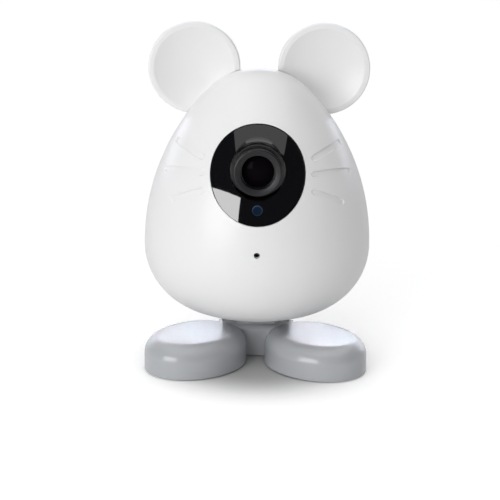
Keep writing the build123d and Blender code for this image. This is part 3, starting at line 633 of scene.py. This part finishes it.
def soft_light(name, azimuth, elevation, distance, size, radiance, colour=(1, 1, 1), acts_on="both"):
    """A rectangular soft light that faces the object and acts on sheen, on colour or on both."""
    width, height = size
    lamp = bpy.data.lights.new(name, "AREA")
    lamp.shape = "RECTANGLE"
    lamp.size = width
    lamp.size_y = height
    lamp.energy = radiance * math.pi * width * height
    lamp.color = colour
    light = show(name, lamp)
    light.location = AIM + direction(azimuth, elevation) * distance
    light.rotation_euler = (AIM - light.location).to_track_quat("-Z", "Y").to_euler()
    light.visible_diffuse = acts_on != "sheen"
    light.visible_glossy = acts_on != "colour"
    return light


def light_set(name, pieces, left_out=False):
    """A set of pieces for a light: those that it reaches, or those that it leaves out."""
    made = bpy.data.collections.new(name)
    for piece in pieces:
        made.objects.link(piece)
    if left_out:
        for entry in made.collection_objects:
            entry.light_linking.link_state = "EXCLUDE"
    return made


COOL_WHITE = (0.86, 0.89, 1.0)
FEET_WHITE = (0.865, 0.89, 1.0)
CEILING_PLACE = (0.09, 0.265, 1.55)


def studio_lights():
    """A key light at the front left, a fill, and white screens that show only as reflections."""
    key_size = (0.66, 0.5)
    soft_light("key_softbox", -38, 9, 1.0, key_size, 3.9)
    key_sheen = soft_light("key_sheen", -38, 9, 1.01, key_size, 4.7, acts_on="sheen")
    soft_light("front_fill", -13, 32, 1.5, (1.0, 0.8), 1.97, acts_on="colour")
    backdrop = soft_light("backdrop_sheen", 180, 13, 2.0, (6.0, 0.62), 2.0, COOL_WHITE, acts_on="sheen")
    ceiling = soft_light("ceiling_sheen", 0, 90, 1.5, (1.98, 3.07), 0.8, acts_on="sheen")
    ceiling.location = CEILING_PLACE
    ceiling.rotation_euler = (0, 0, 0)
    # The base has a low white screen of its own, which shows in the tops of the feet
    screen = soft_light("feet_sheen", 180, 15, 1.9, (4.0, 0.85), 2.4, FEET_WHITE, acts_on="sheen")
    screen.data.cycles.use_multiple_importance_sampling = False
    base = [nodes[name] for name in ("base_housing", "stand_arm", "base_cover")]
    base_set = light_set("base_pieces", base)
    screen.light_linking.receiver_collection = base_set
    screen.light_linking.blocker_collection = base_set
    backdrop.light_linking.receiver_collection = light_set("all_but_base", base, left_out=True)
    # The key's full reflection shows in the dark pieces alone
    dark = [nodes[name] for name in ("face_window", "status_light", "lens_glass")]
    key_sheen.light_linking.receiver_collection = light_set("dark_pieces", dark + [hood, barrel])


WALL_START, WALL_END = -0.35, 0.3
WALL_FRONT, WALL_BEHIND = 0.035, 0.37
CEILING_START, CEILING_END = 0.7, 0.73
CEILING_LEVEL = 1.05


def studio_world():
    """White to the camera; for the object pale walls behind, a dark front and a ceiling that only colours it."""
    world = bpy.data.worlds.new("studio")
    bpy.context.scene.world = world
    world.use_nodes = True
    tree = world.node_tree
    back = tree.nodes["Background"]
    back.inputs["Strength"].default_value = 1.0
    place = add(tree, "ShaderNodeTexCoord").outputs["Generated"]
    parts = add(tree, "ShaderNodeSeparateXYZ")
    tree.links.new(place, parts.inputs[0])
    walls = ramp(tree, parts.outputs["Y"], WALL_START, WALL_END, WALL_FRONT, WALL_BEHIND, "SMOOTHSTEP")
    above = ramp(tree, parts.outputs["Z"], CEILING_START, CEILING_END, 0.0, CEILING_LEVEL)
    rays = add(tree, "ShaderNodeLightPath").outputs
    not_glossy = number(tree, "SUBTRACT", 1.0, rays["Is Glossy Ray"])
    ceiling = number(tree, "MULTIPLY", above, not_glossy)
    around = number(tree, "MAXIMUM", walls, ceiling)
    tree.links.new(number(tree, "MAXIMUM", around, rays["Is Camera Ray"]), back.inputs["Color"])


floor_sheet()
studio_world()
studio_lights()
bpy.context.scene.view_settings.view_transform = "Standard"

# Camera at the photograph's angle, aimed so that the body falls where it does there
IMAGE_SIZE = 500
SENSOR_WIDTH = 36
FOCAL_PIXELS = 1749.0
AXIS_COLUMN = 257.5
LOOK_ROW = 193.5
CAMERA_PLACE = Vector((0, -0.4919, 0.1707))
CAMERA_LOOK = Vector((0, 0.970, -0.242)).normalized()
CAMERA_ROLL = 0.7


def photo_camera():
    """The camera, turned from the axis of the body to the middle of the picture."""
    side = Vector((1, 0, 0))
    upward = side.cross(CAMERA_LOOK)
    shift = side * (IMAGE_SIZE / 2 - AXIS_COLUMN) + upward * (LOOK_ROW - IMAGE_SIZE / 2)
    to_middle = CAMERA_LOOK * FOCAL_PIXELS + shift
    eye = bpy.data.cameras.new("camera")
    eye.sensor_width = SENSOR_WIDTH
    eye.sensor_fit = "HORIZONTAL"
    eye.lens = SENSOR_WIDTH * to_middle.length / IMAGE_SIZE
    eye.clip_start = 0.01
    camera = show("camera", eye)
    camera.location = CAMERA_PLACE
    turned = Quaternion(CAMERA_LOOK, math.radians(-CAMERA_ROLL)) @ to_middle.to_track_quat("-Z", "Y")
    camera.rotation_euler = turned.to_euler()
    bpy.context.scene.camera = camera


photo_camera()
